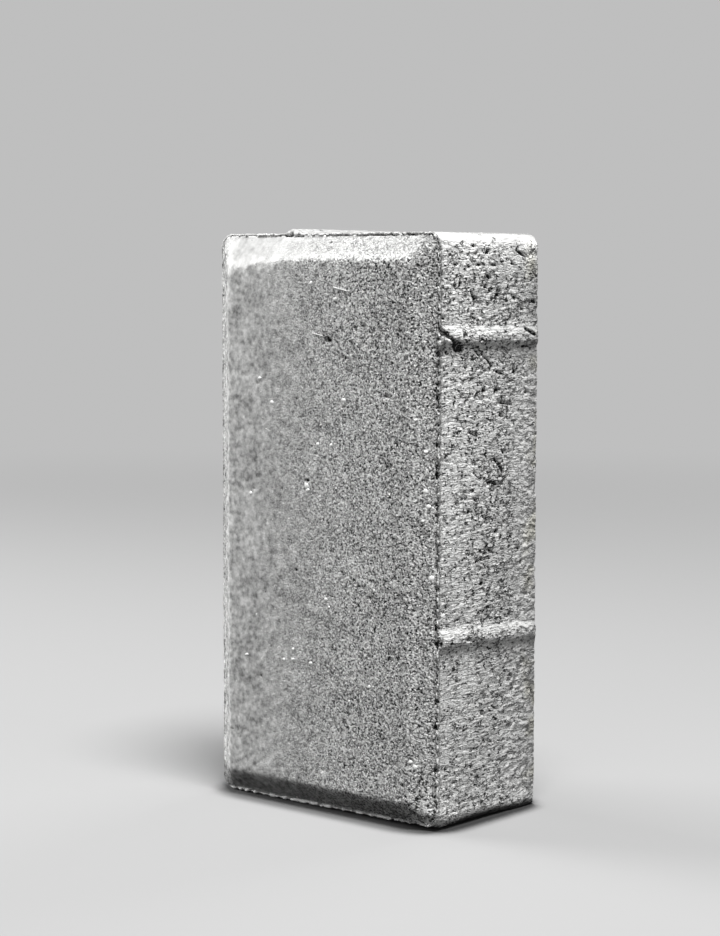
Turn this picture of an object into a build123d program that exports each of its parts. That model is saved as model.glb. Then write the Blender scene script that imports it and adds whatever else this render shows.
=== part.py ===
from build123d import *
import os

# Concrete paving block, stood on one short end. X runs across its width, Y through its thickness and
# Z up its length. The chamfered wear face looks along -Y and the bed face along +Y. Millimetres.

# Laying module, without the spacer nibs
length = 200.0
width = 100.0
thickness = 60.0

# Mould box: the round of the four short corners, and the worn edge round the bed face
corner_radius = 5.0
bed_edge_radius = 0.8

# Chamfer pressed round the wear face, and the soft edge where the two meet
chamfer_width = 9.0
chamfer_depth = 6.0
wear_corner_radius = 1.5
wear_edge_radius = 2.5

# Thin lip squeezed up between the mould wall and the plate that pressed the chamfer
lip_width = 0.9
lip_height = 0.5

# Spacer nibs: low round ridges that run from the chamfer's foot to the bed face
nib_width = 7.0
nib_height = 1.5
nib_root_radius = 0.6
side_nib_low = 63.0
side_nib_high = 165.5
end_nib_offset = -15.0

wear_face_y = -thickness / 2
chamfer_foot_y = wear_face_y + chamfer_depth
bed_face_y = thickness / 2


def cross_plane(y):
    # Plane across the thickness at y, its origin on the block's long axis and its normal to the wear face
    return Plane(origin=(0, y, length / 2), x_dir=(1, 0, 0), z_dir=(0, -1, 0))


# A nib is the cap of a round bar sunk in the block: the bar's radius follows from the cap's width and height
nib_radius = (nib_width**2 / 4 + nib_height**2) / (2 * nib_height)
nib_sink = nib_radius - nib_height
side_nib_places = [(width / 2 - nib_sink, z - length / 2) for z in (side_nib_low, side_nib_high)]
end_nib_place = (end_nib_offset, length / 2 - nib_sink)

with BuildPart() as paving_block:
    # Body below the chamfer, one section all the way, with its nibs
    with BuildSketch(cross_plane(bed_face_y)) as section:
        RectangleRounded(width, length, corner_radius)
        with Locations(*side_nib_places, end_nib_place):
            Circle(nib_radius)
        fillet(section.vertices(Select.LAST), nib_root_radius)
    extrude(amount=bed_face_y - chamfer_foot_y)
    fillet(paving_block.faces().sort_by(Axis.Y)[-1].edges(), bed_edge_radius)

    # Chamfer, from just inside the lip up to the wear face
    with BuildSketch(cross_plane(chamfer_foot_y)):
        RectangleRounded(width - 2 * lip_width, length - 2 * lip_width, corner_radius - lip_width)
    with BuildSketch(cross_plane(wear_face_y)):
        RectangleRounded(width - 2 * chamfer_width, length - 2 * chamfer_width, wear_corner_radius)
    loft(ruled=True)
    fillet(paving_block.faces().sort_by(Axis.Y)[0].edges(), wear_edge_radius)

    # Lip round the chamfer's foot
    with BuildSketch(cross_plane(chamfer_foot_y)):
        RectangleRounded(width, length, corner_radius)
        offset(amount=-lip_width, mode=Mode.SUBTRACT)
    extrude(amount=lip_height)

paving_block.part.label = "paving_block"
os.makedirs("parts", exist_ok=True)
export_step(paving_block.part, "parts/paving_block.step")
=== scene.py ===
import bmesh
import bpy
import math
import numpy as np
from mathutils import Matrix, Vector


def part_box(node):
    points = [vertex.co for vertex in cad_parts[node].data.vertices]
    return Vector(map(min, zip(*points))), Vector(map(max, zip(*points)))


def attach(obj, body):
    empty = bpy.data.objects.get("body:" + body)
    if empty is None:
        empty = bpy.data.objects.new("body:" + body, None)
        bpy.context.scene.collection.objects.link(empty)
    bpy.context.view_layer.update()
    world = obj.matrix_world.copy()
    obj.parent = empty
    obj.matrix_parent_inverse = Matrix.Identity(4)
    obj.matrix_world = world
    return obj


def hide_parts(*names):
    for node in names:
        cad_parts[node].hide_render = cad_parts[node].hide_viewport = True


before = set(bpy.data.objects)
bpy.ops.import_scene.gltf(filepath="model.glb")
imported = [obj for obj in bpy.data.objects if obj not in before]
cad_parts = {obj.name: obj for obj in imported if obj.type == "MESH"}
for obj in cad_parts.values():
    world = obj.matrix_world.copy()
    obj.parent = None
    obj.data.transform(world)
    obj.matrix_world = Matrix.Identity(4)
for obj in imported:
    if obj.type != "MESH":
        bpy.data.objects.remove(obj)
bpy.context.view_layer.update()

# Concrete paving block stood on its end. Sizes below are in millimetres unless a note says otherwise.
# x runs from the plain side to the nibbed side, y from the wear face to the bed face, and z up.
mm = 0.001
cadLow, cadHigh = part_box("paving_block")


def newObject(name, data):
    made = bpy.data.objects.new(name, data)
    bpy.context.scene.collection.objects.link(made)
    return made


def directionTo(azimuth, elevation):
    # Both in degrees, the azimuth from -Y towards +X
    azimuth, elevation = math.radians(azimuth), math.radians(elevation)
    level = math.cos(elevation)
    return Vector((math.sin(azimuth) * level, -math.cos(azimuth) * level, math.sin(elevation)))


# Camera

cameraPlace = {
    "aim": (-4.72, -1.0, 117.68),
    "azimuth": 40.927,  # degrees, like the next two
    "elevation": 5.096,
    "roll": 0.084,
    "distance": 783.52,
    "lens": 85.22,  # on a sensor 36 high
}


def placeCamera(place):
    back = directionTo(place["azimuth"], place["elevation"])
    right = Vector((0, 0, 1)).cross(back).normalized()
    up = back.cross(right)
    turn = Matrix((right, up, back)).transposed() @ Matrix.Rotation(math.radians(place["roll"]), 3, "Z")
    lens = bpy.data.cameras.new("photo_lens")
    lens.lens = place["lens"]
    lens.sensor_width = 36
    lens.clip_start = 0.01
    lens.clip_end = 50
    camera = newObject("photo_camera", lens)
    aim = Vector(place["aim"]) + back * place["distance"]
    camera.matrix_world = Matrix.Translation(aim * mm) @ turn.to_4x4()
    bpy.context.scene.camera = camera
    print("camera placed")


# Fields: node sockets that stand in plain sums, in geometry and shader trees alike

class Field:
    def __init__(self, socket):
        self.socket = socket
        self.tree = socket.id_data
        self.isVector = socket.type in ("VECTOR", "RGBA")

    def __add__(self, other):
        return work("ADD", self, other)

    def __sub__(self, other):
        return work("SUBTRACT", self, other)

    def __mul__(self, other):
        return work("MULTIPLY", self, other)

    def __radd__(self, other):
        return work("ADD", other, self)

    def __rsub__(self, other):
        return work("SUBTRACT", other, self)

    def __rtruediv__(self, other):
        return work("DIVIDE", other, self)


def join(socket, value):
    # Links a field to a socket, or writes a plain value into it
    if isinstance(value, Field):
        value.tree.links.new(value.socket, socket)
    else:
        socket.default_value = value


def newNode(tree, kind, inputs, **settings):
    # A new node with its settings, and its inputs joined or written by name or number
    made = tree.nodes.new(kind)
    for name, value in settings.items():
        setattr(made, name, value)
    for name, value in inputs.items():
        join(made.inputs[name], value)
    return made


def newField(tree, kind, inputs, output=0, **settings):
    return Field(newNode(tree, kind, inputs, **settings).outputs[output])


def work(operation, *values):
    # One math node, a vector one if any value is a vector
    fields = [value for value in values if isinstance(value, Field)]
    isVector = any(field.isVector for field in fields) or any(isinstance(value, tuple) for value in values)
    kind = "ShaderNodeVectorMath" if isVector else "ShaderNodeMath"
    output = "Value" if operation == "LENGTH" else 0
    return newField(fields[0].tree, kind, dict(enumerate(values)), output, operation=operation)


def larger(value, other):
    return work("MAXIMUM", value, other)


def scaled(vector, factor):
    tree = (vector if isinstance(vector, Field) else factor).tree
    return newField(tree, "ShaderNodeVectorMath", {"Vector": vector, "Scale": factor}, operation="SCALE")


def axesOf(place):
    return [Field(socket) for socket in newNode(place.tree, "ShaderNodeSeparateXYZ", {0: place}).outputs]


def combined(tree, *values):
    return newField(tree, "ShaderNodeCombineXYZ", dict(enumerate(values)))


def noise(place, size, detail=2.0, roughness=0.5, output="Fac"):
    # size is the width of one wave
    inputs = {"Vector": place, "Scale": 1 / size, "Detail": detail, "Roughness": roughness}
    return newField(place.tree, "ShaderNodeTexNoise", inputs, output)


def cells(place, size):
    # Distance from the nearest cell's middle, in cells, and each cell's own random number
    made = newNode(place.tree, "ShaderNodeTexVoronoi", {"Vector": place, "Scale": 1 / size})
    return Field(made.outputs["Distance"]), axesOf(Field(made.outputs["Color"]))[0]


def ramp(value, low, high, start=0.0, end=1.0, smooth=True):
    inputs = dict(enumerate((value, low, high, start, end)))
    easing = "SMOOTHSTEP" if smooth else "LINEAR"
    return newField(value.tree, "ShaderNodeMapRange", inputs, interpolation_type=easing)


def between(share, start, end):
    # start where the share is 0, end where it is 1
    return ramp(share, 0, 1, start, end, smooth=False)


def swing(value, reach):
    # Turns 0 to 1 into -reach to +reach
    return (value - 0.5) * (reach * 2.0)


def mottled(place, size, reach, detail=2, roughness=0.5, low=0.3, high=0.7):
    # Noise whose middle, from low to high, is spread over -reach to +reach
    return swing(ramp(noise(place, size, detail, roughness), low, high, smooth=False), reach)


def dimmed(share, end):
    # 1 where the share is 0, and end where it is 1
    return ramp(share, 0, 1, 1.0, end)


def shaken(place, size, reach, detail=2.0):
    # Moves the place that a pattern is read at, so that its shapes come out ragged
    push = noise(place, size, detail, output="Color") - (0.5, 0.5, 0.5)
    return place + scaled(push, 2 * reach)


# Cast form: the block's true shape as an even grid, ready for its relief

castForm = {
    "cornerRadius": 5.0,
    "bedRound": 0.8,
    "chamferWidth": 9.0,
    "chamferDepth": 6.0,
    "wearCornerRadius": 1.5,
    "wearRound": 2.5,
    "lipWidth": 0.9,
    "lipHeight": 0.5,
    "nibRoot": 0.35,  # softness of the foot of a nib
    "sideNibs": [(62.9, -0.045), (164.6, -0.013)],  # height at mid thickness, and its rise towards the bed
    "sideNibHalves": (2.5, 3.9),  # below and above the crest
    "endNib": (-15.0, 0.0),
    "endNibHalves": (3.5, 3.5),
    "nibEnd": 3.2,  # a nib dies out over this much beside the bed
    "footLift": (0.35, 1.3),  # at the plain side and at the nibbed side
    "footCorner": 1.6,  # radius of the lower corner beside the bed, on the nibbed side
    "rubbedCorner": 5.5,  # how much lower the chamfer runs at the upper corner of the plain side
    "gridStep": 0.46,
}
bedEdgeZone, wallZone, lipZone, creaseZone, chamferZone, wearZone, bedZone = range(7)


def nibHeights(along, centre, halves, height, form):
    # Cap of a round bar, drawn out on one side, with a soft foot
    below, above = halves
    half = (below + above) / 2
    radius = (half ** 2 + height ** 2) / (2 * height)
    away = np.where(along < centre, (centre - along) / below, (along - centre) / above) * half
    away = np.minimum(away, radius)
    cap = np.sqrt(radius ** 2 - away ** 2) - (radius - height)
    soft = form["nibRoot"]
    return soft * np.logaddexp(0, cap / soft) - soft * np.logaddexp(0, -height / soft) * (cap > -4 * height)


def sideSamples(halfRun, halfOut, radius, count):
    # One side of a rounded rectangle, from the middle of one corner's arc to the middle of the next
    reach = halfRun - radius + radius * math.pi / 4
    run = np.linspace(-reach, reach, count, endpoint=False)
    turn = np.maximum(np.abs(run) - (halfRun - radius), 0) / radius
    along = np.where(turn > 0, np.sign(run) * (halfRun - radius + radius * np.sin(turn)), run)
    out = halfOut - radius + radius * np.cos(turn)
    return along, out, np.sign(run) * np.sin(turn), np.cos(turn)


def castRing(width, length, inset, radius, counts, nibShare, level, nibHeight, form):
    # Points (x, z) round one section, and their outward directions
    across, upward = width / 2 - inset, length / 2 - inset
    places, aims = [], []
    for side in range(4):
        upright = side % 2 == 0
        halfRun, halfOut = (upward, across) if upright else (across, upward)
        along, out, aimAlong, aimOut = sideSamples(halfRun, halfOut, radius, counts[side % 2])
        sign = 1 if side < 2 else -1
        if side == 0:
            for centre, rise in form["sideNibs"]:
                crest = centre + rise * level - length / 2
                out = out + nibShare * nibHeights(along, crest, form["sideNibHalves"], nibHeight, form)
        if side == 1:
            centre, rise = form["endNib"]
            crest = centre + rise * level
            out = out + nibShare * nibHeights(-along, crest, form["endNibHalves"], nibHeight, form)
        for kept, run, outward in ((places, along, out), (aims, aimAlong, aimOut)):
            kept.append(sign * np.column_stack((outward, run) if upright else (-run, outward)))
    return np.vstack(places), np.vstack(aims)


def profileRows(thickness, form):
    # Rows from the bed round over the wall, lip and chamfer to the wear face:
    # inset, level, lean of the surface (0 on the wall, 90 degrees on the wear face), zone
    step = form["gridStep"]
    bed, wear = thickness / 2, -thickness / 2
    foot = wear + form["chamferDepth"]
    lipTop = foot - form["lipHeight"]
    rows = []
    bedRound = form["bedRound"]
    for lean in np.linspace(-90, 0, 4)[:-1]:
        turn = math.radians(lean)
        level = bed - bedRound - bedRound * math.sin(turn)
        rows.append((bedRound - bedRound * math.cos(turn), level, lean, bedEdgeZone))
    wallRows = round((bed - bedRound - foot) / step)
    for level in np.linspace(bed - bedRound, foot, wallRows + 1):
        rows.append((0.0, level, 0.0, wallZone))
    rows.append((0.1, lipTop + 0.08, 40.0, lipZone))
    rows.append((form["lipWidth"] * 0.5, lipTop, 75.0, lipZone))
    rows.append((form["lipWidth"] * 0.85, lipTop + 0.1, 75.0, lipZone))
    slope = math.atan2(form["chamferDepth"], form["chamferWidth"] - form["lipWidth"])
    lean = 90 - math.degrees(slope)
    start = form["lipWidth"] * 1.1
    rows.append((start, foot + 0.05, lean, creaseZone))
    run = form["wearRound"] * math.tan(slope / 2)
    end = form["chamferWidth"] - run * math.cos(slope)
    chamferRows = round((end - start) / math.cos(slope) / step)
    for inset in np.linspace(start, end, chamferRows + 1)[1:]:
        level = wear + (form["chamferWidth"] - inset) * math.tan(slope)
        rows.append((inset, level, lean, chamferZone))
    for turn in np.linspace(slope, 0, 5)[1:]:
        inset = form["chamferWidth"] + run - form["wearRound"] * math.sin(turn)
        level = wear + form["wearRound"] * (1 - math.cos(turn))
        rows.append((inset, level, 90 - math.degrees(turn), wearZone))
    return rows


def patchGrid(ringStart, counts, places, aims, facing):
    # Fills a ring with a grid that shares the ring's own points
    upCount, acrossCount = counts
    total = 2 * (upCount + acrossCount)
    grid = np.zeros((acrossCount + 1, upCount + 1), int)
    grid[acrossCount, :] = np.arange(upCount + 1)
    grid[:, upCount] = upCount + acrossCount - np.arange(acrossCount + 1)
    grid[0, :] = 2 * upCount + acrossCount - np.arange(upCount + 1)
    grid[:, 0] = (2 * upCount + acrossCount + np.arange(acrossCount + 1)) % total
    ring = places[ringStart:ringStart + total]
    u = np.linspace(0, 1, acrossCount + 1)[:, None, None]
    v = np.linspace(0, 1, upCount + 1)[None, :, None]
    low, high = ring[grid[:, 0]][:, None], ring[grid[:, upCount]][:, None]
    left, right = ring[grid[0, :]][None], ring[grid[acrossCount, :]][None]
    corners = (1 - u) * (1 - v) * ring[grid[0, 0]] + u * (1 - v) * ring[grid[acrossCount, 0]]
    corners = corners + (1 - u) * v * ring[grid[0, upCount]] + u * v * ring[grid[acrossCount, upCount]]
    filled = (1 - v) * low + v * high + (1 - u) * left + u * right - corners
    inner = filled[1:-1, 1:-1].reshape(-1, 3)
    numbers = grid + ringStart
    numbers[1:-1, 1:-1] = len(places) + np.arange(len(inner)).reshape(acrossCount - 1, upCount - 1)
    quads = np.stack((numbers[:-1, :-1], numbers[1:, :-1], numbers[1:, 1:], numbers[:-1, 1:]), -1)
    aims = np.vstack((aims, np.tile(facing, (len(inner), 1))))
    return np.vstack((places, inner)), aims, quads.reshape(-1, 4)


def outwardQuads(quads, places, aims):
    # Turns a patch of faces round if it looks into the block
    a, b, c = (places[quads[:, k]] for k in range(3))
    facing = np.einsum("ij,ij->i", np.cross(b - a, c - a), aims[quads[:, 0]])
    return quads if facing.sum() > 0 else quads[:, ::-1]


def makeCastForm(form):
    nibHeight = (cadHigh[0] + cadLow[0]) / mm
    width, thickness = -2 * cadLow[0] / mm, (cadHigh[1] - cadLow[1]) / mm
    length = cadHigh[2] / mm - nibHeight
    counts = (round(length / form["gridStep"]), round(width / form["gridStep"]))
    rows = profileRows(thickness, form)
    footRadius = form["cornerRadius"] - form["lipWidth"]
    narrowing = (footRadius - form["wearCornerRadius"]) / (form["chamferWidth"] - form["lipWidth"])
    places, aims, zones = [], [], []
    for inset, level, lean, zone in rows:
        radius = form["cornerRadius"] - inset
        if zone in (chamferZone, wearZone):
            radius = footRadius - narrowing * (inset - form["lipWidth"])
        nibShare = 1.0 if zone in (wallZone, bedEdgeZone) else 0.0
        nibShare *= 1 - 0.9 * min(max(level - thickness / 2 + form["nibEnd"], 0) / form["nibEnd"], 1) ** 1.5
        ring, out = castRing(width, length, inset, radius, counts, nibShare, level, nibHeight, form)
        turn = math.radians(lean)
        side = np.full((len(ring), 1), level)
        places.append(np.hstack((ring[:, :1], side, ring[:, 1:] + length / 2)))
        down = np.full((len(ring), 1), -math.sin(turn))
        aims.append(np.hstack((out[:, :1] * math.cos(turn), down, out[:, 1:] * math.cos(turn))))
        zones.append(np.full(len(ring), zone))
    total = len(places[0])
    places, aims, zones = np.vstack(places), np.vstack(aims), np.concatenate(zones)
    starts = np.arange(len(rows) - 1)[:, None] * total
    low = (starts + np.arange(total)).ravel()
    ahead = (starts + (np.arange(total) + 1) % total).ravel()
    walls = np.column_stack((low, ahead, ahead + total, low + total))
    ringCount = len(places)
    places, aims, wearQuads = patchGrid((len(rows) - 1) * total, counts, places, aims, (0, -1, 0))
    wearEnd = len(places)
    places, aims, bedQuads = patchGrid(0, counts, places, aims, (0, 1, 0))
    filled = (np.full(wearEnd - ringCount, wearZone), np.full(len(places) - wearEnd, bedZone))
    zones = np.concatenate((zones, *filled))
    quads = np.vstack([outwardQuads(part, places, aims) for part in (walls, wearQuads, bedQuads)])
    print("cast form:", len(places), "points,", len(quads), "faces")
    return places, aims, zones, quads


# Marks that the photograph shows one by one. Each row: place on the face, half size both ways, and depth,
# where a depth below zero stands proud.

handMarks = {
    "nibbedSide": 45,  # x from which points belong to it
    "lipBand": (-24.6, -23.3),  # y of the lip and its foot
    "nearArris": 47.8,  # x from which the lip is the near arris
    "upperLip": 198,  # z from which it is the upper end's
    "wear": [  # x, z
        (6.0, 163.8, 1.5, 0.8, 1.1), (18.0, 168.1, 0.7, 0.6, 0.7), (32.2, 145.5, 1.3, 0.5, 0.6),
        (13.2, 141.7, 0.8, 0.5, 0.6), (-9.0, 84.0, 0.6, 0.6, 0.6), (25.0, 77.4, 0.9, 0.6, 0.6),
        (-3.7, 115.4, 0.8, 0.5, 0.9), (-3.7, 113.8, 0.9, 0.8, -0.5), (1.4, 165.6, 1.2, 0.6, -0.4),
    ],
    "side": [  # y, z
        (-10.3, 155.0, 0.7, 0.6, 0.9), (3.8, 155.2, 0.9, 0.6, 1.0), (16.2, 152.7, 0.9, 0.5, 0.9),
        (21.9, 156.0, 0.6, 0.7, 0.9), (-0.5, 147.0, 0.9, 0.9, 1.0), (5.6, 146.7, 0.6, 0.7, 0.9),
        (23.1, 145.6, 0.7, 0.5, 0.8), (13.5, 141.9, 0.8, 0.6, 0.9), (9.0, 138.4, 1.0, 0.7, 1.1),
        (-14.4, 133.5, 0.7, 0.7, 0.8), (10.9, 125.6, 1.1, 0.7, 1.1), (6.4, 123.2, 0.7, 0.8, 1.0),
        (-4.5, 110.4, 0.9, 0.7, 0.9), (-8.3, 106.6, 0.9, 0.8, 1.0), (-16.8, 104.6, 0.7, 0.6, 0.9),
        (-12.0, 99.8, 0.7, 0.8, 1.0), (7.3, 98.8, 1.0, 0.8, 1.1), (15.2, 96.4, 0.9, 0.7, 1.0),
        (19.8, 91.8, 0.9, 0.5, 0.9), (21.1, 86.8, 0.6, 0.9, 0.9), (-3.7, 89.2, 0.9, 0.6, 1.0),
        (3.4, 92.7, 0.8, 0.8, 0.9), (-0.9, 81.5, 0.9, 0.7, 1.0), (17.9, 194.3, 0.9, 0.9, 1.1),
        (0.7, 193.1, 1.0, 0.6, 1.0), (-16.4, 182.5, 0.7, 1.0, 1.0),
        (-14.6, 161.2, 2.0, 1.0, 1.3), (-20.5, 160.2, 0.9, 0.7, 0.8), (23.5, 161.4, 2.6, 0.6, 0.8),
        (-6.1, 195.5, 1.2, 0.6, 1.1), (1.5, 193.9, 1.3, 0.7, 1.2), (4.7, 196.5, 0.6, 0.9, 0.9),
        (-3.5, 196.6, 0.8, 0.5, 0.8), (-5.2, 192.8, 0.8, 0.6, 0.9), (-15.8, 189.2, 1.2, 0.5, 0.8),
        (-3.4, 189.2, 1.1, 0.5, 0.9), (4.8, 189.2, 1.4, 0.5, 0.9), (14.9, 189.8, 0.8, 0.6, 0.9),
        (-13.6, 182.6, 0.8, 2.0, 1.0), (22.1, 184.8, 0.6, 1.6, 0.9), (16.5, 178.0, 0.9, 0.6, 1.0),
        (29.4, 193.0, 2.4, 1.4, 0.35), (-10.9, 163.6, 0.8, 0.5, 0.9), (-3.4, 164.3, 0.7, 0.8, 0.8),
        (-0.1, 162.8, 0.9, 0.5, 0.8), (8.8, 163.0, 1.0, 0.5, 0.8), (16.6, 162.7, 1.1, 0.5, 0.8),
        (21.2, 161.4, 1.0, 0.6, 0.9),
    ],
    "cracks": [  # on the side: y and z of both ends, half width and depth
        (-25.0, 167.8, -21.1, 166.0, 1.1, 1.4), (-21.1, 166.0, -17.3, 163.4, 0.6, 1.0),
        (-16.8, 163.0, -13.0, 161.6, 1.3, 1.5), (-6.5, 161.6, -2.5, 158.6, 0.5, 0.8),
        (0.5, 158.2, 3.5, 155.6, 0.5, 0.8), (22.0, 167.4, 26.5, 165.4, 0.65, 1.0),
        (17.8, 197.5, 18.5, 193.6, 0.4, 0.8), (18.5, 193.6, 21.5, 192.6, 0.6, 1.0),
        (-7.8, 180.2, -5.2, 176.8, 0.5, 1.0), (-19.2, 161.5, -16.9, 158.5, 0.35, 0.7),
        (-2.8, 160.8, -0.3, 158.1, 0.4, 0.8), (15.8, 154.1, 16.8, 151.6, 0.4, 0.9),
        (18.1, 154.1, 16.8, 151.6, 0.4, 0.8), (7.9, 142.5, 15.2, 141.8, 0.4, 0.8),
        (-8.5, 133.5, -4.1, 131.9, 0.5, 0.8), (5.9, 123.5, 10.4, 118.8, 0.6, 0.9),
    ],
    "arris": [  # z, half height and depth of a break in the near arris
        (160.0, 1.0, 0.8), (155.8, 0.7, 0.7), (149.9, 0.6, 0.6), (145.6, 1.0, 0.8), (142.3, 0.5, 0.6),
        (129.8, 0.8, 0.7), (122.5, 0.8, 0.9), (119.8, 1.3, 0.8), (110.2, 0.7, 0.9), (106.4, 0.7, 0.8),
        (96.6, 0.6, 0.5), (90.2, 1.6, 0.5), (82.0, 1.0, 0.6), (72.8, 1.6, 0.5), (68.8, 0.9, 0.9),
        (63.6, 0.8, 0.8), (44.0, 0.8, 0.7), (35.5, 0.7, 0.6), (21.0, 0.9, 0.7),
    ],
    "topEdge": [  # x, half width, depth
        (-17.4, 1.9, 0.9), (9.0, 3.0, 0.6), (24.0, 2.5, 0.7), (38.5, 3.0, 0.8),
    ],
}


def markDepths(places, zones, marks):
    # How far each point is pushed in by the listed marks
    depth = np.zeros(len(places))
    nibbedSide = places[:, 0] > marks["nibbedSide"]
    onWear = (zones == wearZone) & (places[:, 1] < 0)
    for face, own, axis in (("wear", onWear, 0), ("side", (zones <= wallZone) & nibbedSide, 1)):
        own = np.nonzero(own)[0]
        for along, height, halfAlong, halfHeight, deep in marks[face]:
            aside, up = (places[own, axis] - along) / halfAlong, (places[own, 2] - height) / halfHeight
            depth[own] += deep * np.exp(-((aside ** 2 + up ** 2) ** 2))
    side = np.nonzero((zones == wallZone) & nibbedSide)[0]
    for startAlong, startHeight, endAlong, endHeight, half, deep in marks["cracks"]:
        line = np.array((endAlong - startAlong, endHeight - startHeight))
        away = places[side][:, 1:] - (startAlong, startHeight)
        share = np.clip(away @ line / (line @ line), 0, 1)
        away = np.linalg.norm(away - share[:, None] * line, axis=1)
        depth[side] = np.maximum(depth[side], deep * np.exp(-(away / half) ** 4))
    lipBand = (places[:, 1] > marks["lipBand"][0]) & (places[:, 1] < marks["lipBand"][1])
    near = lipBand & (places[:, 0] > marks["nearArris"])
    top = lipBand & np.isin(zones, (lipZone, creaseZone)) & (places[:, 2] > marks["upperLip"])
    for name, own, axis in (("arris", near, 2), ("topEdge", top, 0)):
        for middle, half, deep in marks[name]:
            depth[own] += deep * np.exp(-((places[own, axis] - middle) / half) ** 4)
    return depth


# Relief pressed and torn into the cast form by the mould

castRelief = {
    "Broad Relief": 0.10,
    "Drag Relief": 0.20,
    "Drag Stretch": 2.2,
    "Plateau": 0.03,
    "Grit Relief": 0.09,
    "Void Depth": 1.1,
    "Fine Void Depth": 0.4,
    "Wear Pit Depth": 0.5,
    "Lip Break": 0.5,
    "Lump Height": 0.2,
    "Crease Fill": 0.4,
    "Arris Wear": 0.5,
    "Seed": 3.0,
}
keptTriangles = 190000


def namedField(tree, name, kind="FLOAT"):
    return newField(tree, "GeometryNodeInputNamedAttribute", {"Name": name}, "Attribute", data_type=kind)


def storeField(shape, name, value, domain="POINT"):
    inputs = {"Geometry": shape, "Name": name, "Value": value}
    return newField(shape.tree, "GeometryNodeStoreNamedAttribute", inputs, data_type="FLOAT", domain=domain)


def geometryTree(name, numbers):
    # A new tree that is given a shape and one named number for each size
    tree = bpy.data.node_groups.new(name, "GeometryNodeTree")
    tree.is_modifier = True
    tree.interface.new_socket("Geometry", in_out="INPUT", socket_type="NodeSocketGeometry")
    for label, value in numbers.items():
        socket = tree.interface.new_socket(label, in_out="INPUT", socket_type="NodeSocketFloat")
        socket.default_value = value
    tree.interface.new_socket("Geometry", in_out="OUTPUT", socket_type="NodeSocketGeometry")
    start = tree.nodes.new("NodeGroupInput")
    given = {label: Field(start.outputs[label]) for label in numbers}
    return tree, Field(start.outputs["Geometry"]), given


def finishTree(tree, shape, material):
    real = newField(tree, "GeometryNodeRealizeInstances", {"Geometry": shape})
    dressed = newField(tree, "GeometryNodeSetMaterial", {"Geometry": real, "Material": material})
    newNode(tree, "NodeGroupOutput", {"Geometry": dressed})
    return tree


def giveTree(piece, tree, numbers):
    modifier = piece.modifiers.new(tree.name, "NODES")
    modifier.node_group = tree
    for item in tree.interface.items_tree:
        if item.in_out == "INPUT" and item.name in numbers:
            modifier[item.identifier] = numbers[item.name]


def plainMesh(piece, smooth):
    # Freezes the modifiers' result as the piece's own mesh
    graph = bpy.context.evaluated_depsgraph_get()
    made = bpy.data.meshes.new_from_object(piece.evaluated_get(graph))
    made.name = piece.name
    piece.modifiers.clear()
    piece.data = made
    made.polygons.foreach_set("use_smooth", [smooth] * len(made.polygons))
    return made


def openBand(y, z):
    # The middle of the thickness is the most open, and all of it is towards the upper end
    band = ramp(y, -25, 3) * ramp(y, 8, 26, 1.0, 0.35) * ramp(z, 30, 80, 0.45, 1.0)
    return larger(band, ramp(z, 125, 170, 0.0, 0.9)) - ramp(z, 187, 197, 0.0, 1.2)


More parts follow.
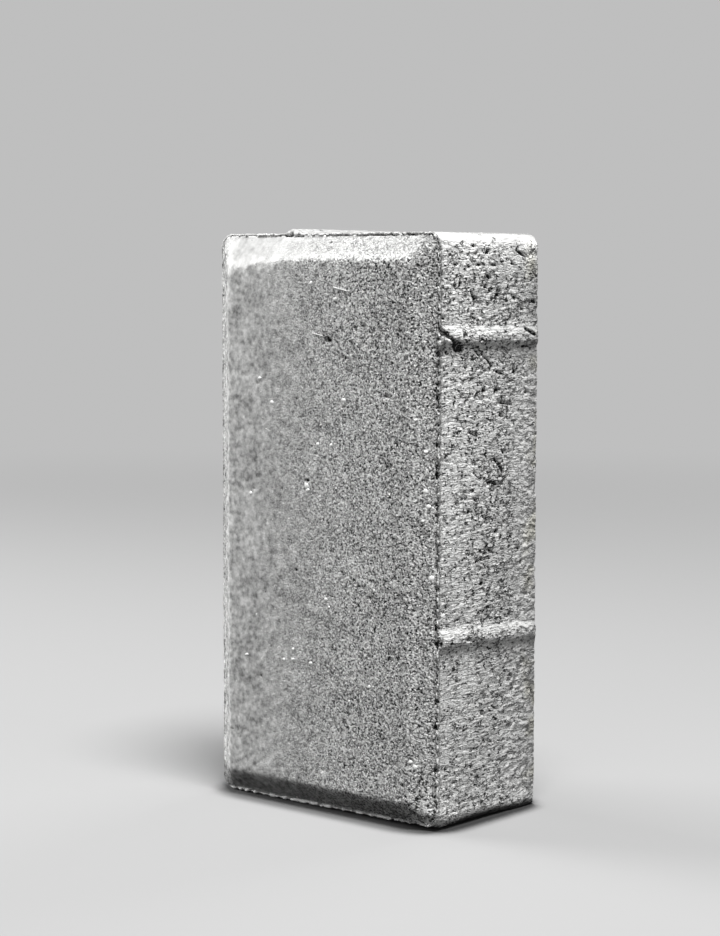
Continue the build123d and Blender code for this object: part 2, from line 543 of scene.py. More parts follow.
def reliefTree(material, numbers):
    tree, shape, given = geometryTree("castRelief", numbers)
    position = newField(tree, "GeometryNodeInputPosition", {})
    truePlace = scaled(position, 1 / mm)
    x, y, z = axesOf(truePlace)
    place = truePlace + scaled((17.3, 41.9, 29.1), given["Seed"])
    wall, lip, crease, edge = (namedField(tree, name) for name in ("wall", "lip", "crease", "edge"))
    marked, corner, upward = (namedField(tree, name) for name in ("marked", "corner", "upward"))

    broad = swing(noise(place, 26, 2), given["Broad Relief"])
    grit = swing(noise(place, 1.5, 2, 0.6), given["Grit Relief"])

    # Drag: the wall tears into ridges that run through the thickness as the block leaves the mould
    torn = shaken(place, 9, 0.7) * combined(tree, 1.0, 1.0 / given["Drag Stretch"], 1.0)
    ridges = ramp(noise(torn, 1.6, 3, 0.6), 0.3, 0.7)
    drag = swing(ridges, given["Drag Relief"])

    # Voids: ragged hollows between the grains, in patches. Faces that look up were pressed or rubbed shut.
    patchy = swing(noise(place, 15, 2), 0.13) + (openBand(y, z) - 0.5) * 0.045
    patchy = patchy - corner * 0.06 - ramp(upward, 0.1, 0.6, 0.0, 0.2)
    voids = ramp(noise(shaken(torn, 1.6, 0.45, 3), 1.8, 2, 0.6) + patchy, 0.69, 0.73)
    fineVoids = ramp(noise(torn + (7.0, 3.0, 11.0), 1.15, 2, 0.6) + patchy, 0.62, 0.69)
    wallVoids = voids * given["Void Depth"] + fineVoids * given["Fine Void Depth"]

    # Wear face and bed: pressed flat, with a few pinholes
    pins = ramp(noise(place + (3.0, 19.0, 5.0), 2.3, 2, 0.55), 0.7, 0.78) * given["Wear Pit Depth"]

    flat = 1.0 - wall
    chew = edge * ramp(noise(place, 3.5, 3, 0.6), 0.48, 0.7) * given["Arris Wear"]
    height = broad + grit + wall * (drag - wallVoids) - flat * pins - chew - marked
    height = work("SMOOTH_MIN", height, given["Plateau"], 0.12)

    # Lip: a row of lumps, worn away on the plain side, and open here and there along its inner foot
    nibbed = ramp(x, 40, 47)
    broken = larger(ramp(noise(place, 2.1, 2, 0.6), 0.47, 0.55), ramp(x, -48, -44, 1.0, 0.0))
    nearLip = edge * ramp(y, -20, -17, 0.6, 0.0)
    lump = larger(lip, nearLip) * (1.0 - broken) * ramp(z, 55, 100, 1.0, 0.5)
    gap = ramp(noise(place + (9.0, 2.0, 5.0), 7.5, 3, 0.65), 0.5, 0.58)
    gap = gap * ramp(x, -36, -16, 0.25, 1.0) * ramp(z, 15, 30) * ramp(x, 36, 42, 1.0, 0.0)
    gapArris = ramp(noise(place + (4.0, 8.0, 1.0), 3.0, 3, 0.7), 0.53, 0.6) * ramp(z, 186, 192, 0.75, 0.0)
    gap = larger(gap, nibbed * gapArris)
    height = height + lump * given["Lump Height"] - lip * broken * given["Lip Break"]
    height = height + crease * ((1.0 - gap) * given["Crease Fill"])

    hollow = larger(voids, fineVoids * 0.35) * wall + flat * pins * 1.2 + crease * (gap * 0.9)
    hollow = hollow + lip * broken * (nibbed * 0.7) + larger(marked, 0.0)
    hollow = between(between(hollow, 0, 1) - lump, 0, 1)
    for name, value in (("hollow", hollow), ("lump", lump), ("ridge", ridges)):
        shape = storeField(shape, name, value)
    goal = position + scaled(namedField(tree, "outward", "FLOAT_VECTOR"), height * mm)
    goal = larger(goal, (-1.0, -1.0, 0.0))  # nothing reaches below the floor
    moved = newField(tree, "GeometryNodeSetPosition", {"Geometry": shape, "Position": goal})
    return finishTree(tree, moved, material)


def fade(value, start, end):
    # 1 up to start, 0 from end on, and smooth between them
    share = np.clip((end - value) / (end - start), 0, 1)
    return share * share * (3 - 2 * share)


def liftFoot(places, form):
    # The lip under the wear face is worn, so it clears the floor by a little, more towards the nibbed side
    low, high = form["footLift"]
    across = np.clip((places[:, 0] + 45) / 90, 0, 1)
    lift = low + (high - low) * across ** 1.5
    foot = places[:, 1].min() + form["chamferDepth"]
    places[:, 2] += lift * fade(places[:, 2], 0.3, 7) * fade(places[:, 1], foot + 0.5, foot + 6)


def sharpenCorner(places, form):
    # The lower corner of the nibbed side is less round towards the bed
    radius = form["cornerRadius"]
    edge = -places[:, 0].min()
    own = np.nonzero((places[:, 0] > edge - radius) & (places[:, 2] < radius) & (places[:, 1] > -10))[0]
    across = places[own, 0] - (edge - radius)
    down = radius - places[own, 2]
    reach = np.hypot(across, down)
    less = (radius - form["footCorner"]) * fade(-places[own, 1], -26, -2) * fade(radius - reach, 0.3, 1.5)
    reach = np.maximum(reach, 0.01)
    places[own, 0] += less * (1 - across / reach) * (across > 0)
    places[own, 2] -= less * (1 - down / reach) * (down > 0)


def rubCorner(places, zones, form):
    # Wear has drawn the upper chamfer down the wear face towards the corner of the plain side
    foot = places[:, 1].min() + form["chamferDepth"]
    top = (cadHigh[2] - cadHigh[0] - cadLow[0]) / mm - form["lipWidth"]
    onFront = (zones >= chamferZone) & (places[:, 1] < foot)
    own = np.nonzero(onFront & (places[:, 2] > top / 2) & (places[:, 0] < 1))[0]
    across = places[own, 0]
    aside = np.clip((across - 1) / places[:, 0].min(), 0, 1)
    uneven = 0.5 * np.sin(0.55 * across + 1) + 0.35 * np.sin(1.3 * across)
    run = form["chamferWidth"] - form["lipWidth"]
    run = run + form["rubbedCorner"] * aside ** 1.8 + uneven * aside ** 0.5
    rubbed = foot - form["chamferDepth"] * (top - places[own, 2]) / run
    over = np.maximum(rubbed - places[own, 1], 0)
    places[own, 1] += over ** 2 / (over + 0.4)


def makeSkin(form, relief, marks, material):
    places, aims, zones, quads = makeCastForm(form)
    liftFoot(places, form)
    sharpenCorner(places, form)
    rubCorner(places, zones, form)
    mesh = bpy.data.meshes.new("cast_form")
    mesh.from_pydata((places * mm).tolist(), [], quads.tolist())
    mesh.validate()
    outward = mesh.attributes.new("outward", "FLOAT_VECTOR", "POINT")
    outward.data.foreach_set("vector", aims.astype(np.float32).ravel())
    normals = np.zeros(len(places) * 3, np.float32)
    mesh.vertex_normals.foreach_get("vector", normals)
    thickness = places[:, 1].max() - places[:, 1].min()
    foot = -thickness / 2 + form["chamferDepth"]
    onWall = np.isin(zones, (bedEdgeZone, wallZone))
    nearBed = np.exp(-((places[:, 1] - thickness / 2) / 1.5) ** 2) * onWall
    nearLip = np.exp(-((places[:, 1] - foot) / 1.2) ** 2) * np.isin(zones, (wallZone, lipZone))
    pointNumbers = {
        "upward": normals[2::3],
        "wall": onWall * np.clip(places[:, 1] - foot, 0, 1) ** 0.5,
        "lip": zones == lipZone,
        "crease": zones == creaseZone,
        "edge": np.maximum(nearBed, nearLip),
        "corner": onWall * np.clip(np.abs(aims[:, 0] * aims[:, 2]) * 2, 0, 1),
        "marked": markDepths(places, zones, marks),
    }
    for name, values in pointNumbers.items():
        stored = mesh.attributes.new(name, "FLOAT", "POINT")
        stored.data.foreach_set("value", values.astype(np.float32))
    skin = newObject("paving_block_skin", mesh)
    giveTree(skin, reliefTree(material, relief), relief)
    # The lip's rows stay out of the thinned ground, so they keep their points
    plain = skin.vertex_groups.new(name="plainGround")
    plain.add(np.nonzero(~np.isin(zones, (lipZone, creaseZone)))[0].tolist(), 1.0, "REPLACE")
    thin = skin.modifiers.new("keptTriangles", "DECIMATE")
    thin.ratio = keptTriangles / (2 * len(quads))
    thin.vertex_group = plain.name
    thin.vertex_group_factor = 50
    made = plainMesh(skin, True)
    print("skin:", sum(len(face.vertices) - 2 for face in made.polygons), "triangles")
    return skin


# Concrete

concreteLook = {
    "base": (0.41, 0.41, 0.405),
    "warmStain": (1.0, 0.985, 0.90),  # the same colour where it is stained, beside the bed
    "roughness": 0.93,
    "specular": 0.15,
    "bumpReach": 0.8,
    "grainTone": 0.78,  # how much the sand grains differ in tone, and the patterns below it in the same way
    "pasteTone": 0.36,
    "darkSpeckTone": -0.29,
    "paleSpeckTone": 0.75,
    "mottleTone": 0.42,
    "dotTone": 0.42,
    "patchTone": 0.23,
    "blotchTone": 0.09,
    "cloudTone": 0.09,
    "streakTone": 0.22,
    "combTone": 0.23,
    "swellTone": 0.09,
    "crumbToneAndHighlight": (1.5, 0.8),  # right at the near lower corner and away from it; near the corner partly a painted highlight
    "speckle": (-38, 26, 1.15),  # x where it starts and where it is full, and its contrast there
    "bedSide": 0.6,  # share of grain and marks left towards the bed
    "wallStretch": 0.55,  # grains are drawn out through the thickness on the walls
    "wallGrain": 0.40,  # contrast of the grains on the walls, against 1 on the wear face
    "wallPale": 0.40,  # how much paler the walls' ground is
    "plainPale": 0.12,  # the same on the plain side, kept low as a painted shade against the left lamp
    "wallFade": (1.06, 0.76),  # tone of the walls beside the chamfer and beside the bed
    "wallRise": (0.93, 1.14),  # the same near the foot and towards the top
    "paleUnderEnd": 0.42,  # the walls are paler just under the upper end
    "endShade": 0.58,  # tone of the upper end, which takes the key light full on
    "roundShade": 0.84,  # the same on the round under it
    "bedArris": 0.78,  # tone of the walls at the bed's arris
    "rubbedFoot": 0.22,  # how much paler the edges of the wear face are
    # the next two are partly wear and partly a painted highlight
    "rubbedSideAndHighlight": 0.16,
    "rubbedTopAndHighlight": 0.26,
    "nearShade": 0.06,  # how much darker its near edge is
    # painted shade: the tone in pits, cracks, creases and hollows
    "pitShadeTone": 0.04,
    "footShadeTone": 0.1,  # painted shade: a dark line at the foot where it stands
    "lipHighlightTone": 2.1,  # painted highlight along the bottom lip, which lies in the shade
    "nearCorner": (50.0, -26.0, 3.0),  # crumbles into pale lumps
    "farCorner": (50.0, 26.0, 195.5),  # a smooth pale lump
}


def newMaterial(name, roughness, specular):
    material = bpy.data.materials.new(name)
    material.use_nodes = True
    shader = material.node_tree.nodes["Principled BSDF"]
    shader.inputs["Roughness"].default_value = roughness
    shader.inputs["Specular IOR Level"].default_value = specular
    return material, material.node_tree, shader


def blended(share, start, end):
    # One colour where the share is 0, the other where it is 1
    inputs = {"Factor": share, "A": (*start, 1), "B": (*end, 1)}
    return newField(share.tree, "ShaderNodeMix", inputs, "Result", data_type="RGBA")


def readAttribute(tree, name):
    return newField(tree, "ShaderNodeAttribute", {}, "Fac", attribute_name=name)


def objectPlace(tree):
    return newField(tree, "ShaderNodeTexCoord", {}, "Object")


def concreteSpeckle(grainPlace, across, rough, look):
    # Sand grains each of their own tone, in a paste that is pale and dark by turns
    grains = swing(cells(grainPlace, 0.5)[1], look["grainTone"])
    paste = mottled(grainPlace, 0.8, look["pasteTone"], 2, 0.6, 0.34, 0.66)
    darkNoise = noise(grainPlace + (13.0, 7.0, 21.0), 1.4, 2, 0.55) + ramp(across, 10, 45, -0.01, 0.03)
    darkSpecks = ramp(darkNoise + rough * 0.035, 0.6, 0.68)
    paleNear, paleOwn = cells(grainPlace + (31.0, 17.0, 5.0), 2.4)
    paleSize = ramp(paleOwn, 0.6, 1.0, 0.01, 0.3, smooth=False)
    paleSpecks = ramp(paleNear, paleSize * 0.5, paleSize, 1.0, 0.0)
    tone = grains + paste + darkSpecks * look["darkSpeckTone"] + paleSpecks * look["paleSpeckTone"]
    relief = grains * 0.25 + paste * 0.45 + darkSpecks * -0.4 + paleSpecks * 0.3
    return tone, relief


def grainContrast(across, fromNearCorner, wall, look):
    # The wear face's grain softens towards the plain side, and sharpens at the near lower corner
    start, full, most = look["speckle"]
    contrast = ramp(across, start, full, 0.0, most) * ramp(fromNearCorner, 5, 20, 1.8, 1.0)
    return larger(contrast, ramp(across, -45, -41, 0.5, 0.0)) * dimmed(wall, look["wallGrain"])


def slowTones(place, grainPlace, across, wall, upward, look):
    # Slower changes of tone, and soft pale dots where the paste is smooth on the plain side
    mottle = mottled(place, 1.7, look["mottleTone"])
    dotNear, dotOwn = cells(shaken(place, 2, 0.4), 2.8)
    mottle = mottle + ramp(dotNear, 0.08, 0.34, 1.0, 0.0) * ramp(dotOwn, 0.45, 1.0, 0.0, look["dotTone"])
    mottle = mottle * ramp(across, -38, 14, 1.0, 0.15) * dimmed(upward, 0.5)
    patches = mottled(grainPlace, 3.8, look["patchTone"]) * ramp(across, -10, 28, 1.0, 0.4)
    clouds = mottled(place, 9, look["blotchTone"]) + mottled(place, 26, look["cloudTone"], 3)
    streaks = mottled(place, 4, look["streakTone"], 3, 0.6) * ramp(across, -44, -39, 1.0, 0.0)
    return mottle + patches * dimmed(wall, 0.5) + clouds * ramp(across, 0, 40, 1.0, 0.5) + streaks


def wallMarks(place, swept, busy):
    # Small ragged pits, dashes and thin cracks, most of them in the middle of the thickness
    pitPlace = shaken(swept * (1.0, 0.6, 1.0), 1.5, 0.35, 2)
    pits = ramp(noise(pitPlace, 1.3, 2, 0.6) + busy, 0.64, 0.66)
    dashPlace = (swept + (5.0, 23.0, 9.0)) * (1.0, 0.4, 1.0)
    dashes = ramp(noise(dashPlace, 0.9, 2, 0.6) + busy, 0.62, 0.65)
    lines = noise(shaken(swept, 3, 0.6) * (1.0, 0.5, 1.0), 2.2, 3, 0.6)
    lines = ramp(work("ABSOLUTE", lines - 0.5), 0.008, 0.04, 1.0, 0.0)
    cracks = lines * ramp(noise(place, 4.5, 2) + busy, 0.5, 0.62)
    return larger(larger(pits, dashes * 0.9), cracks * 0.9)


def combAndSwell(swept, wall, softSide, roundTop):
    # Fine combed lines on the walls, and soft swells beside the bed
    comb = swing(ramp(noise(swept * (1.0, 0.2, 1.0), 0.85, 3, 0.6), 0.33, 0.67), 1.0) * wall
    swell = noise(shaken(swept, 4, 0.8) * (1.0, 0.55, 1.0), 2.6, 2)
    swell = swing(ramp(swell, 0.3, 0.7), 1.0) * softSide
    return comb * dimmed(softSide, 0.4) * dimmed(roundTop, 0.3), swell


def brokenEdges(swept, hollow, lump):
    # The relief's hollows and lumps come from its points, so their edges are broken up finer than its mesh
    ragged = swing(noise(shaken(swept, 1.2, 0.3), 0.9, 3, 0.65), 1.0)
    hollowEdge = ramp(hollow * 0.78 + ragged * 1.25, 0.38, 0.54) * ramp(hollow, 0.02, 0.25)
    lumpEdge = ramp(lump - ragged * 0.6, 0.3, 0.6) * ramp(lump, 0.02, 0.3)
    return hollowEdge, lumpEdge


def wallPaleness(x, z, waver, wall, look):
    # The walls are paler than the wear face, the plain side less so as a painted shade, and palest just
    # under the upper end
    endPale = ramp(z + waver * 5.0, 184, 194) * ramp(z, 195.5, 199, 1.0, 0.4) * wall
    return ramp(x, -49.7, -47.5, look["plainPale"], look["wallPale"]) + endPale * look["paleUnderEnd"]


def wallShade(y, z, wall, look):
    # The walls darken towards the bed and towards the foot, with a painted shade where the block stands
    fadeAcross = ramp(y, -22, 28, *look["wallFade"], smooth=False) * ramp(y, 22, 29, 1.0, look["bedArris"])
    rise = ramp(z, 20, 180, *look["wallRise"], smooth=False)
    # Painted shade: the foot of the walls goes dark where the block meets the floor
    foot = ramp(z, 1.5, 3.5, look["footShadeTone"], 1.0)
    return between(wall, 1.0, fadeAcross) * between(wall, 1.0, rise) * between(wall, 1.0, foot)


def wornEdges(x, y, z, waver, wall, look):
    # Edges of the wear face: rubbed paler at the foot, rubbed paler with a painted highlight at the top and
    # plain side, and painted shade on the foot's chamfer, which faces down
    flat = 1.0 - wall
    level = z + waver * 2.2
    rubbedFoot = ramp(level, 10, 21, look["rubbedFoot"], 0.0) * ramp(waver, -0.1, 0.4)
    # Paler plain-side chamfer: partly wear, partly a painted highlight from the left
    rubbedSideAndHighlight = ramp(x + waver * 3.5, -42.5, -39, look["rubbedSideAndHighlight"], 0.0)
    # Paler edge under the upper chamfer: partly wear, partly a painted highlight where it turns up to the
    # light
    rubbedTopAndHighlight = ramp(level + ramp(x, -44, -8, 4.5, 0.0), 187.5, 191.5, 0.0, look["rubbedTopAndHighlight"])
    rubbedTopAndHighlight = rubbedTopAndHighlight * ramp(y, -29.6, -27.5, 1.0, 0.0)
    rubbed = rubbedFoot + rubbedSideAndHighlight + rubbedTopAndHighlight - ramp(x, 41, 45, 0.0, look["nearShade"])
    # Painted shade on the chamfer under the wear face, which faces down to the floor
    footChamferShade = flat * ramp(level, 7.5, 10.5, 0.5, 0.0) * ramp(y, 20, 28, 1.0, 0.0)
    return (1.0 + rubbed * flat) * (1.0 - footChamferShade)


def makeConcrete(look):
    material, tree, shader = newMaterial("vibrated_grey_concrete", look["roughness"], look["specular"])
    place = scaled(objectPlace(tree), 1 / mm)
    x, y, z = axesOf(place)
    wall, hollow, ridge, lump = (readAttribute(tree, name) for name in ("wall", "hollow", "ridge", "lump"))
    lip, crease, lookingUp = (readAttribute(tree, name) for name in ("lip", "crease", "upward"))
    upward = ramp(lookingUp, 0.1, 0.6)
    steep = ramp(lookingUp, 0.5, 0.7) * ramp(x, 41, 44, 1.0, 0.0)
    upperEnd = larger(ramp(lookingUp, 0.85, 0.98), steep) * wall
    roundTop = ramp(z, 195, 198) * (wall - upperEnd)
    rough = ramp(z, 135, 175) * ramp(x, 8, 44)
    fromNearCorner = work("LENGTH", place - look["nearCorner"])
    fromFarCorner = work("LENGTH", place - look["farCorner"])
    bedSide = between(ramp(y, 6, 28) * ramp(z, 145, 172, 1.0, 0.3), 1.0, look["bedSide"])
    softSide = ramp(y + ramp(z, 40, 90, 8.0, 0.0), 14, 25) * ramp(z, 145, 168, 1.0, 0.25) * wall

    # Grain, which the walls and the bed keep all over
    across = x + larger(wall, ramp(y, 28, 29.5)) * 100.0
    grainPlace = combined(tree, x, y * between(wall, 1.0, look["wallStretch"]), z)
    speckle, speckleRelief = concreteSpeckle(grainPlace, across, rough, look)
    contrast = grainContrast(across, fromNearCorner, wall, look) * (bedSide * dimmed(upward, 0.52))
    contrast = contrast * dimmed(softSide, 0.6) * dimmed(roundTop, 0.5)
    slowTone = slowTones(place, grainPlace, across, wall, upward, look) - rough * 0.07
    slowTone = slowTone * dimmed(upward, 0.6)

    # Walls and broken edges
    swept = shaken(place, 8, 0.7)
    comb, swell = combAndSwell(swept, wall, softSide, roundTop)
    busy = openBand(y, z) * 0.03 + swing(noise(place, 8, 2), 0.06) - upward * 0.09
    marks = wallMarks(place, swept, busy) * wall * bedSide
    hollowEdge, lumpEdge = brokenEdges(swept, hollow, lump)
    crumbs = noise(shaken(place, 2, 0.4), 1.5, 3, 0.6) + ramp(fromNearCorner, 4, 28, 0.08, -0.16)
    crumbs = ramp(crumbs, 0.54, 0.59)

    # Tone
    waver = swing(noise(place, 5, 3, 0.6), 1.0)
    wallTone = wallPaleness(x, z, waver, wall, look) + comb * look["combTone"] + swell * look["swellTone"]
    # Lumps along the lip are painted paler, most near the foot: a painted highlight where they catch the
    # light
    wallTone = (wallTone + swing(ridge, 0.05)) * wall + lumpEdge * ramp(z, 4, 18, 1.8, 0.95)
    tone = (1.0 + wallTone) * (1.0 + slowTone) + speckle * contrast
    # Painted shade: pits, cracks, creases and hollows go almost black
    tone = tone * between(hollowEdge, 1.0, look["pitShadeTone"]) * between(marks, 1.0, look["pitShadeTone"])
    tone = tone * wallShade(y, z, wall, look) * wornEdges(x, y, z, waver, wall, look)
    tone = tone * dimmed(upperEnd, look["endShade"]) * dimmed(roundTop, look["roundShade"])
    # Paler low on the walls as painted light from the floor's bounce, and a smooth pale lump at the far
    # upper corner
    tone = tone * (1.0 + (ramp(z, 3.5, 16, 0.22, 0.0) * wall + ramp(fromFarCorner, 2, 6, 0.6, 0.0)))
    # Pale crumbs at the near lower corner, painted paler right at the corner as a highlight
    tone = tone + crumbs * ramp(fromNearCorner, 5, 14, *look["crumbToneAndHighlight"])
    # Painted highlight: the lip along the bottom is made pale where the floor's light would catch it
    lipFootHighlight = larger(lip, crease * 0.7) * ramp(z, 2, 4, 1.0, 0.0) * ramp(x, -44, -38)
    tone = work("MINIMUM", larger(between(lipFootHighlight, tone, look["lipHighlightTone"]), 0.03), 2.1)
    warm = ramp(noise(place, 13, 2), 0.5, 0.65) * wall * ramp(y, 20, 27)
    stained = [plain * share for plain, share in zip(look["base"], look["warmStain"])]
    join(shader.inputs["Base Color"], scaled(blended(warm, look["base"], stained), tone))

    # Grain too fine for the mesh
    grain = speckleRelief * contrast + comb * 0.3 * bedSide - marks * 0.7 + (swell * 0.6 + crumbs)
    bump = {"Strength": 1.0, "Distance": look["bumpReach"] * mm, "Height": grain}
    join(shader.inputs["Normal"], newField(tree, "ShaderNodeBump", bump))
    print("concrete mixed")
    return material


# Exposed grains: sand and chippings that stand out of the paste, scattered over the skin

grainScatter = {
    "Grains Per Area": 52000.0,  # each square metre
    "Smallest": 0.16,  # half sizes
    "Largest": 0.50,
    "Sunk": 0.45,  # share of the half size
    "Seed": 8.0,
}


def grainTree(material, numbers):
    tree, shape, given = geometryTree("exposedGrains", numbers)
    x, z = axesOf(newField(tree, "GeometryNodeInputPosition", {}))[::2]
    few = ramp(x, -40 * mm, 15 * mm, 0.1, 1.0)  # the plain side's paste covers most of them
    spread = newNode(tree, "GeometryNodeDistributePointsOnFaces", {
        "Mesh": shape,
        "Selection": work("GREATER_THAN", z, 2 * mm),  # none underneath
        "Density": given["Grains Per Area"] * larger(few, namedField(tree, "wall")),
        "Seed": given["Seed"],
    })

    def chance(low, high, salt, kind="FLOAT"):
        made = newNode(tree, "FunctionNodeRandomValue", {"Seed": given["Seed"] + salt}, data_type=kind)
        inputs = [socket for socket in made.inputs if socket.enabled]
        join(inputs[0], low)
        join(inputs[1], high)
        return Field([socket for socket in made.outputs if socket.enabled][0])

    small = work("POWER", chance(0.0, 1.0, 1.0), 2.5)
    half = between(small, given["Smallest"], given["Largest"])
    down = scaled(Field(spread.outputs["Normal"]), half * given["Sunk"] * -mm)
    points = Field(spread.outputs["Points"])
    placed = newField(tree, "GeometryNodeInstanceOnPoints", {
        "Points": newField(tree, "GeometryNodeSetPosition", {"Geometry": points, "Offset": down}),
        "Instance": newField(tree, "GeometryNodeMeshIcoSphere", {"Radius": mm, "Subdivisions": 1}),
        "Rotation": chance((0.0, 0.0, 0.0), (6.28, 6.28, 6.28), 3.0, "FLOAT_VECTOR"),
        "Scale": scaled(chance((0.7, 0.7, 0.6), (1.3, 1.2, 1.0), 2.0, "FLOAT_VECTOR"), half),
    })
    stones = storeField(placed, "grainTone", chance(0.55, 1.75, 4.0), "INSTANCE")
    return finishTree(tree, stones, material)


def makeGrains(skin, numbers, material):
    grains = newObject("exposed_grains", skin.data.copy())
    giveTree(grains, grainTree(material, numbers), numbers)
    made = plainMesh(grains, False)
    print("grains:", len(made.polygons), "triangles")
    return grains


paleChips = {  # chips that stand bright on the face: x, z and half size
    "wear": [
        (-1.8, 183.0, 0.6), (9.2, 177.7, 0.8), (-25.8, 149.9, 0.8), (-20.1, 141.7, 0.7), (13.2, 143.7, 0.8),
        (1.4, 128.2, 0.6), (7.4, 128.2, 0.6), (-3.9, 113.6, 1.2), (-3.4, 112.2, 0.9), (-30.3, 109.3, 0.8),
        (26.7, 80.3, 0.6), (5.1, 75.1, 0.8), (6.5, 72.5, 0.6), (-10.3, 56.1, 0.7), (-10.3, 52.5, 0.7),
        (-14.6, 52.0, 0.7), (-1.9, 52.1, 0.8), (-32.5, 51.7, 0.8), (24.8, 47.2, 0.8), (15.6, 41.1, 0.6),
    ],
    "nearChamfer": [
        (45.9, 127.7, 0.8), (45.9, 114.8, 1.0), (46.8, 109.6, 0.8), (45.2, 104.8, 0.5), (46.0, 95.8, 0.6),
        (47.7, 85.9, 1.1), (42.1, 23.8, 0.8), (43.4, 22.1, 0.9), (43.1, 138.2, 0.5),
    ],
    "scratches": [  # on the wear face, two ends
        ((7.8, 181.7), (14.5, 180.4)), ((-1.3, 166.0), (3.7, 165.1)), ((9.7, 91.7), (8.3, 86.8)),
    ],
    "scratchWidth": 0.4,
    "proud": 0.25,
    "tone": 2.1,
    "scratchTone": 1.55,
}


def makeChips(chips, form, material):
    shape = bmesh.new()
    layer = shape.verts.layers.float.new("grainTone")
    jitter = np.random.default_rng(5)
    slope = math.atan2(form["chamferDepth"], form["chamferWidth"] - form["lipWidth"])

    def stone(x, z, halfAcross, halfUp, turn, tone, onChamfer=False):
        lean = slope if onChamfer else 0
        down = cadLow[1] / mm
        if onChamfer:
            down += (x + cadLow[0] / mm + form["chamferWidth"]) * math.tan(slope)
        aim = Vector((math.sin(lean), -math.cos(lean), 0))
        side = Vector((math.cos(lean), math.sin(lean), 0))
        for point in bmesh.ops.create_icosphere(shape, subdivisions=1, radius=1)["verts"]:
            rough = 1 + jitter.uniform(-0.25, 0.25)
            a, b = point.co.x * halfAcross * rough, point.co.z * halfUp * rough
            across = a * math.cos(turn) - b * math.sin(turn)
            up = a * math.sin(turn) + b * math.cos(turn)
            place = Vector((x, down, z + up)) + side * across + aim * (-point.co.y * chips["proud"] + 0.02)
            point[layer] = tone
            point.co = place * mm

    for face in ("wear", "nearChamfer"):
        for x, z, half in chips[face]:
            across, up = half * jitter.uniform(0.8, 1.3), half * jitter.uniform(0.6, 1.0)
            stone(x, z, across, up, jitter.uniform(-0.5, 0.5), chips["tone"], face == "nearChamfer")
    for (x, z), (endX, endZ) in chips["scratches"]:
        reach = math.hypot(endX - x, endZ - z)
        turn = math.atan2(endZ - z, endX - x)
        for share in np.arange(0.1, 1, 0.8 / reach):
            at = (x + (endX - x) * share, z + (endZ - z) * share)
            stone(*at, 0.6, chips["scratchWidth"] / 2, turn, chips["scratchTone"])
    bmesh.ops.recalc_face_normals(shape, faces=shape.faces)
    mesh = bpy.data.meshes.new("pale_chips")
    shape.to_mesh(mesh)
    shape.free()
    mesh.materials.append(material)
    print("chips:", len(mesh.polygons), "triangles")
    return newObject("pale_chips", mesh)


def makeGrainStone(look):
    material, tree, shader = newMaterial("sand_grain_stone", 0.75, 0.4)
    mottle = noise(scaled(objectPlace(tree), 1 / mm), 0.6, 2)
    tone = readAttribute(tree, "grainTone") * ramp(mottle, 0.3, 0.7, 0.85, 1.15, smooth=False)
    join(shader.inputs["Base Color"], scaled(look["base"], tone))
    return material


# Studio

studio = {
    "floorRadius": 9000.0,
    "floorColour": (0.285, 0.285, 0.285),
    "floorBounce": (0.05, 0.05, 0.05),  # what the floor gives back to the block
    "contactReach": 12.0,
    "contactShadeTone": 0.03,  # painted contact shadow: the floor's colour right against the block
    "contactOpen": (0.57, 0.9),  # openness where it has that tone, and where it has its own
    "contactTurn": (30, 60),  # x where the next two shares change over
    "contactShare": (0.6, 1.0),  # how much of it shows before the wear face and beside the nibbed side
    "backdropFrom": (250, 1600),  # the floor turns into the backdrop between these
    "backdropTone": 0.52,
    "fill": 0.12,
    "lamps": [  # name, height that it aims at, azimuth, elevation, size and watts
        ("key_light", 100, 60, 70, 600, 46),
        ("left_light", 100, -78, 20, 900, 31),
        ("back_light", 100, 180, 25, 900, 9),
        ("front_fill", 100, 12, 12, 900, 3.5),
        ("right_bounce", 60, 92, 2, 700, 8),
    ],
    "lampDistance": 1500,
}


def lamp(name, height, azimuth, elevation, size, watts, distance):
    light = bpy.data.lights.new(name, "AREA")
    light.shape = "DISK"
    light.size = size * mm
    light.energy = watts
    made = newObject(name, light)
    back = directionTo(azimuth, elevation)
    made.location = (Vector((0, 0, height)) + back * distance) * mm
    made.rotation_mode = "QUATERNION"
    made.rotation_quaternion = back.to_track_quat("Z", "Y")
    made.visible_camera = False


def seenRays(tree):
    # 1 for rays that see the backdrop itself, 0 for rays that only carry its light
    path = newNode(tree, "ShaderNodeLightPath", {})
    names = ("Is Camera Ray", "Is Glossy Ray", "Is Transmission Ray")
    camera, glossy, through = (Field(path.outputs[name]) for name in names)
    return larger(larger(camera, glossy), through)


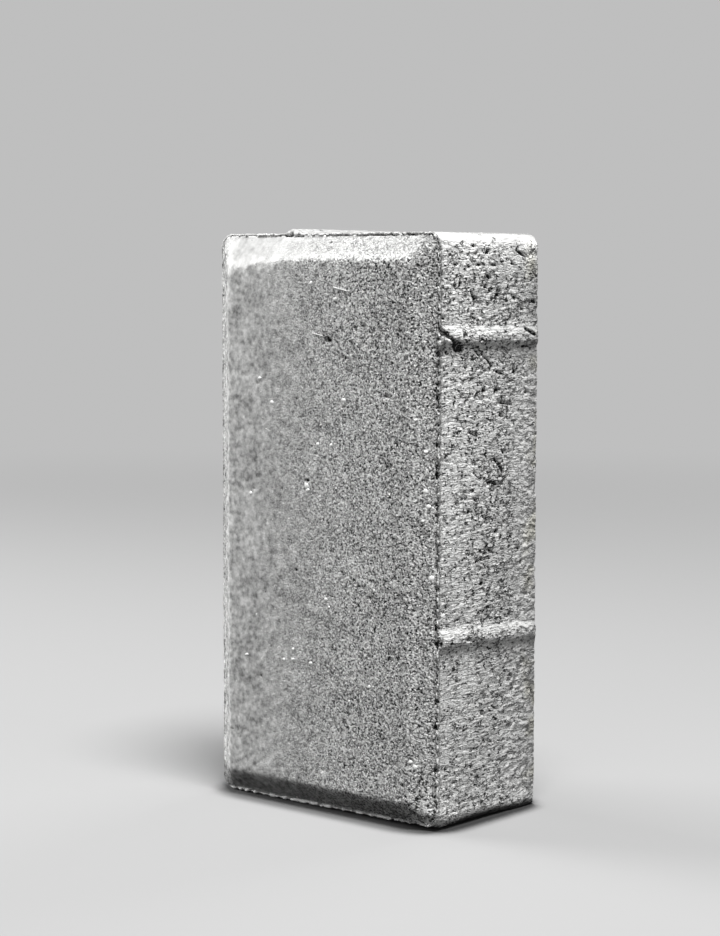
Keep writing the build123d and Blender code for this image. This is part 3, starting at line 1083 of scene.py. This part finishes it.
def makeFloor(room):
    bpy.ops.mesh.primitive_circle_add(vertices=96, radius=room["floorRadius"] * mm, fill_type="NGON")
    floor = bpy.context.object
    floor.name = "studio_floor"
    material, tree, shader = newMaterial("studio_floor_card", 1.0, 0.0)
    colour = blended(seenRays(tree), room["floorBounce"], room["floorColour"])
    contact = newField(tree, "ShaderNodeAmbientOcclusion", {"Distance": room["contactReach"] * mm}, "AO")
    place = objectPlace(tree)
    share = ramp(axesOf(place)[0], *(turn * mm for turn in room["contactTurn"]), *room["contactShare"])
    # Painted contact shadow: the floor's colour darkens where its ambient occlusion is low, more beside the
    # nibbed side
    contactShade = ramp(contact, *room["contactOpen"], 1 - room["contactShadeTone"], 0.0)
    join(shader.inputs["Base Color"], scaled(colour, 1.0 - contactShade * share))
    glow = newField(tree, "ShaderNodeEmission", {"Color": (*[room["backdropTone"]] * 3, 1)})
    far = ramp(work("LENGTH", place), *(reach * mm for reach in room["backdropFrom"])) * seenRays(tree)
    blend = newField(tree, "ShaderNodeMixShader", {0: far, 1: Field(shader.outputs[0]), 2: glow})
    join(tree.nodes["Material Output"].inputs["Surface"], blend)
    floor.data.materials.append(material)
    return floor


def makeStudio(room):
    floor = makeFloor(room)
    world = bpy.data.worlds.new("studio_air")
    world.use_nodes = True
    bpy.context.scene.world = world
    sky = world.node_tree.nodes["Background"]
    sky.inputs["Color"].default_value = (1, 1, 1, 1)
    join(sky.inputs["Strength"], between(seenRays(world.node_tree), room["fill"], room["backdropTone"]))
    for row in room["lamps"]:
        lamp(*row, room["lampDistance"])
    bpy.context.scene.view_settings.view_transform = "Standard"
    print("studio lit")


placeCamera(cameraPlace)
concrete = makeConcrete(concreteLook)
skin = makeSkin(castForm, castRelief, handMarks, concrete)
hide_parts("paving_block")
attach(skin, "root")
stoneMaterial = makeGrainStone(concreteLook)
for piece in (makeGrains(skin, grainScatter, stoneMaterial), makeChips(paleChips, castForm, stoneMaterial)):
    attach(piece, "root")
makeStudio(studio)
